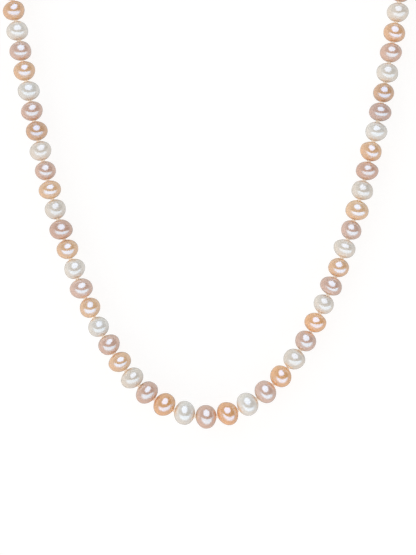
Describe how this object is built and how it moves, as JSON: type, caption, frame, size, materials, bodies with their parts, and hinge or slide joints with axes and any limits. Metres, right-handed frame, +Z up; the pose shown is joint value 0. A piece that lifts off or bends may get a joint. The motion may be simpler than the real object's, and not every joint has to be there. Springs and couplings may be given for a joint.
{
  "type": "pearl necklace",
  "caption": "Knotted strand of off-round freshwater pearls in repeating mauve, peach and white, graded towards the centre, with a spring ring clasp.",
  "frame": {"origin": "centre of the laid-out necklace's bounding box, on the surface that it lies on", "axes": "+Z up from that surface; +Y from the centre pearl towards the clasp; +X towards the arm that carries the clasp"},
  "size_m": [0.1606, 0.2092, 0.0088],
  "materials": {
    "pearl_mauve": "polished nacre",
    "pearl_peach": "polished nacre",
    "pearl_white": "polished nacre",
    "silk": "twisted silk thread",
    "bullion": "fine wound silver wire",
    "silver": "polished silver",
    "spring_steel": "drawn wire"
  },
  "bodies": {
    "centre_pearl": {"pearl_centre_mauve": "pearl_mauve", "silk_thread": "silk"},
    "pearl_left_01_white": {"pearl_left_01_white": "pearl_white"},
    "pearl_left_02_peach": {"pearl_left_02_peach": "pearl_peach"},
    "pearl_left_03_mauve": {"pearl_left_03_mauve": "pearl_mauve"},
    "pearl_left_04_white": {"pearl_left_04_white": "pearl_white"},
    "pearl_left_05_peach": {"pearl_left_05_peach": "pearl_peach"},
    "pearl_left_06_mauve": {"pearl_left_06_mauve": "pearl_mauve"},
    "pearl_left_07_white": {"pearl_left_07_white": "pearl_white"},
    "pearl_left_08_peach": {"pearl_left_08_peach": "pearl_peach"},
    "pearl_left_09_mauve": {"pearl_left_09_mauve": "pearl_mauve"},
    "pearl_left_10_white": {"pearl_left_10_white": "pearl_white"},
    "pearl_left_11_peach": {"pearl_left_11_peach": "pearl_peach"},
    "pearl_left_12_mauve": {"pearl_left_12_mauve": "pearl_mauve"},
    "pearl_left_13_white": {"pearl_left_13_white": "pearl_white"},
    "pearl_left_14_peach": {"pearl_left_14_peach": "pearl_peach"},
    "pearl_left_15_mauve": {"pearl_left_15_mauve": "pearl_mauve"},
    "pearl_left_16_white": {"pearl_left_16_white": "pearl_white"},
    "pearl_left_17_peach": {"pearl_left_17_peach": "pearl_peach"},
    "pearl_left_18_mauve": {"pearl_left_18_mauve": "pearl_mauve"},
    "pearl_left_19_white": {"pearl_left_19_white": "pearl_white"},
    "pearl_left_20_peach": {"pearl_left_20_peach": "pearl_peach"},
    "pearl_pair_left_21_22": {"pearl_pair_left_21_22": "pearl_mauve"},
    "pearl_pair_left_23_24": {"pearl_pair_left_23_24": "pearl_peach"},
    "pearl_pair_left_25_26": {"pearl_pair_left_25_26": "pearl_white"},
    "pearl_pair_left_27_28": {"pearl_pair_left_27_28": "pearl_mauve", "bullion_loop_left": "bullion"},
    "pearl_right_01_peach": {"pearl_right_01_peach": "pearl_peach"},
    "pearl_right_02_white": {"pearl_right_02_white": "pearl_white"},
    "pearl_right_03_mauve": {"pearl_right_03_mauve": "pearl_mauve"},
    "pearl_right_04_peach": {"pearl_right_04_peach": "pearl_peach"},
    "pearl_right_05_white": {"pearl_right_05_white": "pearl_white"},
    "pearl_right_06_mauve": {"pearl_right_06_mauve": "pearl_mauve"},
    "pearl_right_07_peach": {"pearl_right_07_peach": "pearl_peach"},
    "pearl_right_08_white": {"pearl_right_08_white": "pearl_white"},
    "pearl_right_09_mauve": {"pearl_right_09_mauve": "pearl_mauve"},
    "pearl_right_10_peach": {"pearl_right_10_peach": "pearl_peach"},
    "pearl_right_11_white": {"pearl_right_11_white": "pearl_white"},
    "pearl_right_12_mauve": {"pearl_right_12_mauve": "pearl_mauve"},
    "pearl_right_13_peach": {"pearl_right_13_peach": "pearl_peach"},
    "pearl_right_14_white": {"pearl_right_14_white": "pearl_white"},
    "pearl_right_15_mauve": {"pearl_right_15_mauve": "pearl_mauve"},
    "pearl_right_16_peach": {"pearl_right_16_peach": "pearl_peach"},
    "pearl_right_17_white": {"pearl_right_17_white": "pearl_white"},
    "pearl_right_18_mauve": {"pearl_right_18_mauve": "pearl_mauve"},
    "pearl_right_19_peach": {"pearl_right_19_peach": "pearl_peach"},
    "pearl_right_20_white": {"pearl_right_20_white": "pearl_white"},
    "pearl_pair_right_21_22": {"pearl_pair_right_21_22": "pearl_mauve"},
    "pearl_pair_right_23_24": {"pearl_pair_right_23_24": "pearl_white"},
    "pearl_pair_right_25_26": {"pearl_pair_right_25_26": "pearl_peach"},
    "pearl_pair_right_27_28": {"pearl_pair_right_27_28": "pearl_mauve", "bullion_loop_right": "bullion"},
    "end_ring": {"end_ring": "silver"},
    "jump_ring": {"jump_ring": "silver"},
    "clasp": {"clasp_body": "silver", "clasp_spring": "spring_steel"},
    "clasp_bolt": {"clasp_bolt": "silver"}
  },
  "joints": [
    {"name": "clasp_bolt", "type": "hinge", "parent": "clasp", "child": "clasp_bolt", "pos_m": [0.0763, 0.10061, 0.00095], "axis": [0, 0, 1], "range_deg": [0, 60], "stiffness_Nm_per_rad": 0.003, "springref_deg": -17.19, "deforming": ["clasp_spring"]},
    {"name": "clasp_swivel", "type": "hinge", "parent": "jump_ring", "child": "clasp", "pos_m": [0.07567, 0.09585, 0.00143], "axis": [0, 0, 1], "range_deg": [-60, 60]},
    {"name": "jump_ring_swivel", "type": "hinge", "parent": "pearl_pair_right_27_28", "child": "jump_ring", "pos_m": [0.07514, 0.09188, 0.0025], "axis": [0, 0, 1], "range_deg": [-50, 50]},
    {"name": "end_ring_swivel", "type": "hinge", "parent": "pearl_pair_left_27_28", "child": "end_ring", "pos_m": [-0.07766, 0.09234, 0.0031], "axis": [0, 0, -1], "range_deg": [-50, 50]},
    {"name": "knot_left_01", "type": "hinge", "parent": "centre_pearl", "child": "pearl_left_01_white", "pos_m": [-0.00524, -0.10053, 0.00432], "axis": [0, 0, -1], "range_deg": [-46.2, 13.8], "deforming": ["silk_thread"]},
    {"name": "knot_right_01", "type": "hinge", "parent": "centre_pearl", "child": "pearl_right_01_peach", "pos_m": [0.00279, -0.10053, 0.00432], "axis": [0, 0, 1], "range_deg": [-46.2, 13.8]},
    {"name": "knot_left_02", "type": "hinge", "parent": "pearl_left_01_white", "child": "pearl_left_02_peach", "pos_m": [-0.01296, -0.09829, 0.00432], "axis": [0, 0, 1], "range_deg": [-16, 44]},
    {"name": "knot_right_02", "type": "hinge", "parent": "pearl_right_01_peach", "child": "pearl_right_02_white", "pos_m": [0.0105, -0.09829, 0.00432], "axis": [0, 0, -1], "range_deg": [-16, 44]},
    {"name": "knot_left_03", "type": "hinge", "parent": "pearl_left_02_peach", "child": "pearl_left_03_mauve", "pos_m": [-0.0199, -0.09425, 0.00438], "axis": [0, 0, -1], "range_deg": [-40.6, 19.4]},
    {"name": "knot_right_03", "type": "hinge", "parent": "pearl_right_02_white", "child": "pearl_right_03_mauve", "pos_m": [0.01743, -0.09425, 0.00426], "axis": [0, 0, 1], "range_deg": [-40.9, 19.1]},
    {"name": "knot_left_04", "type": "hinge", "parent": "pearl_left_03_mauve", "child": "pearl_left_04_white", "pos_m": [-0.0256, -0.08932, 0.00431], "axis": [0, 0, 1], "range_deg": [-22.2, 37.8]},
    {"name": "knot_right_04", "type": "hinge", "parent": "pearl_right_03_mauve", "child": "pearl_right_04_peach", "pos_m": [0.0234, -0.08905, 0.00404], "axis": [0, 0, -1], "range_deg": [-21.8, 38.2]},
    {"name": "knot_left_05", "type": "hinge", "parent": "pearl_left_04_white", "child": "pearl_left_05_peach", "pos_m": [-0.03052, -0.08374, 0.00424], "axis": [0, 0, -1], "range_deg": [-35.9, 24.1]},
    {"name": "knot_right_05", "type": "hinge", "parent": "pearl_right_04_peach", "child": "pearl_right_05_white", "pos_m": [0.02864, -0.08298, 0.00397], "axis": [0, 0, 1], "range_deg": [-36.1, 23.9]},
    {"name": "knot_left_06", "type": "hinge", "parent": "pearl_left_05_peach", "child": "pearl_left_06_mauve", "pos_m": [-0.03477, -0.07778, 0.00404], "axis": [0, 0, 1], "range_deg": [-25.4, 34.6]},
    {"name": "knot_right_06", "type": "hinge", "parent": "pearl_right_05_white", "child": "pearl_right_06_mauve", "pos_m": [0.03313, -0.07649, 0.0039], "axis": [0, 0, -1], "range_deg": [-25.4, 34.6]},
    {"name": "knot_left_07", "type": "hinge", "parent": "pearl_left_06_mauve", "child": "pearl_left_07_white", "pos_m": [-0.03865, -0.07129, 0.00384], "axis": [0, 0, -1], "range_deg": [-33.7, 26.3]},
    {"name": "knot_right_07", "type": "hinge", "parent": "pearl_right_06_mauve", "child": "pearl_right_07_peach", "pos_m": [0.03702, -0.06975, 0.00398], "axis": [0, 0, 1], "range_deg": [-33.5, 26.5]},
    {"name": "knot_left_08", "type": "hinge", "parent": "pearl_left_07_white", "child": "pearl_left_08_peach", "pos_m": [-0.04215, -0.06447, 0.00384], "axis": [0, 0, 1], "range_deg": [-27, 33]},
    {"name": "knot_right_08", "type": "hinge", "parent": "pearl_right_07_peach", "child": "pearl_right_08_white", "pos_m": [0.04034, -0.06308, 0.00378], "axis": [0, 0, -1], "range_deg": [-27.2, 32.8]},
    {"name": "knot_left_09", "type": "hinge", "parent": "pearl_left_08_peach", "child": "pearl_left_09_mauve", "pos_m": [-0.04529, -0.05749, 0.00419], "axis": [0, 0, -1], "range_deg": [-32.4, 27.6]},
    {"name": "knot_right_09", "type": "hinge", "parent": "pearl_right_08_white", "child": "pearl_right_09_mauve", "pos_m": [0.0433, -0.05636, 0.00409], "axis": [0, 0, 1], "range_deg": [-32.2, 27.8]},
    {"name": "knot_left_10", "type": "hinge", "parent": "pearl_left_09_mauve", "child": "pearl_left_10_white", "pos_m": [-0.04813, -0.05037, 0.00384], "axis": [0, 0, 1], "range_deg": [-28, 32]},
    {"name": "knot_right_10", "type": "hinge", "parent": "pearl_right_09_mauve", "child": "pearl_right_10_peach", "pos_m": [0.0459, -0.04975, 0.00378], "axis": [0, 0, -1], "range_deg": [-28.1, 31.9]},
    {"name": "knot_left_11", "type": "hinge", "parent": "pearl_left_10_white", "child": "pearl_left_11_peach", "pos_m": [-0.05072, -0.04317, 0.00398], "axis": [0, 0, -1], "range_deg": [-31.7, 28.3]},
    {"name": "knot_right_11", "type": "hinge", "parent": "pearl_right_10_peach", "child": "pearl_right_11_white", "pos_m": [0.04837, -0.04283, 0.00409], "axis": [0, 0, 1], "range_deg": [-31.6, 28.4]},
    {"name": "knot_left_12", "type": "hinge", "parent": "pearl_left_11_peach", "child": "pearl_left_12_mauve", "pos_m": [-0.05304, -0.03609, 0.00419], "axis": [0, 0, 1], "range_deg": [-28.6, 31.4]},
    {"name": "knot_right_12", "type": "hinge", "parent": "pearl_right_11_white", "child": "pearl_right_12_mauve", "pos_m": [0.05058, -0.03608, 0.00378], "axis": [0, 0, -1], "range_deg": [-28.7, 31.3]},
    {"name": "knot_left_13", "type": "hinge", "parent": "pearl_left_12_mauve", "child": "pearl_left_13_white", "pos_m": [-0.05524, -0.02875, 0.00384], "axis": [0, 0, -1], "range_deg": [-31.2, 28.8]},
    {"name": "knot_right_13", "type": "hinge", "parent": "pearl_right_12_mauve", "child": "pearl_right_13_peach", "pos_m": [0.05269, -0.02905, 0.00419], "axis": [0, 0, 1], "range_deg": [-31.2, 28.8]},
    {"name": "knot_left_14", "type": "hinge", "parent": "pearl_left_13_white", "child": "pearl_left_14_peach", "pos_m": [-0.05729, -0.02137, 0.00409], "axis": [0, 0, 1], "range_deg": [-29, 31]},
    {"name": "knot_right_14", "type": "hinge", "parent": "pearl_right_13_peach", "child": "pearl_right_14_white", "pos_m": [0.05475, -0.02167, 0.00398], "axis": [0, 0, -1], "range_deg": [-28.9, 31.1]},
    {"name": "knot_left_15", "type": "hinge", "parent": "pearl_left_14_peach", "child": "pearl_left_15_mauve", "pos_m": [-0.05906, -0.0145, 0.00378], "axis": [0, 0, -1], "range_deg": [-30.9, 29.1]},
    {"name": "knot_right_15", "type": "hinge", "parent": "pearl_right_14_white", "child": "pearl_right_15_mauve", "pos_m": [0.05661, -0.01446, 0.00409], "axis": [0, 0, 1], "range_deg": [-30.9, 29.1]},
    {"name": "knot_left_16", "type": "hinge", "parent": "pearl_left_15_mauve", "child": "pearl_left_16_white", "pos_m": [-0.06079, -0.00736, 0.00398], "axis": [0, 0, 1], "range_deg": [-29.2, 30.8]},
    {"name": "knot_right_16", "type": "hinge", "parent": "pearl_right_15_mauve", "child": "pearl_right_16_peach", "pos_m": [0.05828, -0.00755, 0.00398], "axis": [0, 0, -1], "range_deg": [-29.2, 30.8]},
    {"name": "knot_left_17", "type": "hinge", "parent": "pearl_left_16_white", "child": "pearl_left_17_peach", "pos_m": [-0.06244, -0.00009, 0.00398], "axis": [0, 0, -1], "range_deg": [-30.7, 29.3]},
    {"name": "knot_right_17", "type": "hinge", "parent": "pearl_right_16_peach", "child": "pearl_right_17_white", "pos_m": [0.05994, -0.00029, 0.00398], "axis": [0, 0, 1], "range_deg": [-30.7, 29.3]},
    {"name": "knot_left_18", "type": "hinge", "parent": "pearl_left_17_peach", "child": "pearl_left_18_mauve", "pos_m": [-0.064, 0.00719, 0.00398], "axis": [0, 0, 1], "range_deg": [-29.4, 30.6]},
    {"name": "knot_right_18", "type": "hinge", "parent": "pearl_right_17_white", "child": "pearl_right_18_mauve", "pos_m": [0.0615, 0.007, 0.00409], "axis": [0, 0, -1], "range_deg": [-29.4, 30.6]},
    {"name": "knot_left_19", "type": "hinge", "parent": "pearl_left_18_mauve", "child": "pearl_left_19_white", "pos_m": [-0.06548, 0.0145, 0.00398], "axis": [0, 0, -1], "range_deg": [-30.6, 29.4]},
    {"name": "knot_right_19", "type": "hinge", "parent": "pearl_right_18_mauve", "child": "pearl_right_19_peach", "pos_m": [0.06291, 0.01396, 0.00378], "axis": [0, 0, 1], "range_deg": [-30.6, 29.4]},
    {"name": "knot_left_20", "type": "hinge", "parent": "pearl_left_19_white", "child": "pearl_left_20_peach", "pos_m": [-0.06688, 0.02181, 0.00398], "axis": [0, 0, 1], "range_deg": [-29.5, 30.5]},
    {"name": "knot_right_20", "type": "hinge", "parent": "pearl_right_19_peach", "child": "pearl_right_20_white", "pos_m": [0.0643, 0.02117, 0.00398], "axis": [0, 0, -1], "range_deg": [-29.5, 30.5]},
    {"name": "knot_left_21", "type": "hinge", "parent": "pearl_left_20_peach", "child": "pearl_pair_left_21_22", "pos_m": [-0.06822, 0.02914, 0.00398], "axis": [0, 0, -1], "range_deg": [-30.7, 29.3]},
    {"name": "knot_right_21", "type": "hinge", "parent": "pearl_right_20_white", "child": "pearl_pair_right_21_22", "pos_m": [0.06564, 0.0285, 0.00398], "axis": [0, 0, 1], "range_deg": [-30.7, 29.3]},
    {"name": "knot_left_23", "type": "hinge", "parent": "pearl_pair_left_21_22", "child": "pearl_pair_left_23_24", "pos_m": [-0.07071, 0.04383, 0.00398], "axis": [0, 0, 1], "range_deg": [-29.2, 30.8]},
    {"name": "knot_right_23", "type": "hinge", "parent": "pearl_pair_right_21_22", "child": "pearl_pair_right_23_24", "pos_m": [0.06815, 0.04319, 0.00398], "axis": [0, 0, -1], "range_deg": [-29.2, 30.8]},
    {"name": "knot_left_25", "type": "hinge", "parent": "pearl_pair_left_23_24", "child": "pearl_pair_left_25_26", "pos_m": [-0.073, 0.05855, 0.00398], "axis": [0, 0, -1], "range_deg": [-30.7, 29.3]},
    {"name": "knot_right_25", "type": "hinge", "parent": "pearl_pair_right_23_24", "child": "pearl_pair_right_25_26", "pos_m": [0.07044, 0.05791, 0.00398], "axis": [0, 0, 1], "range_deg": [-30.7, 29.3]},
    {"name": "knot_left_27", "type": "hinge", "parent": "pearl_pair_left_25_26", "child": "pearl_pair_left_27_28", "pos_m": [-0.07512, 0.0733, 0.00398], "axis": [0, 0, 1], "range_deg": [-29.4, 30.6]},
    {"name": "knot_right_27", "type": "hinge", "parent": "pearl_pair_right_25_26", "child": "pearl_pair_right_27_28", "pos_m": [0.07257, 0.07266, 0.00398], "axis": [0, 0, -1], "range_deg": [-29.4, 30.6]}
  ]
}
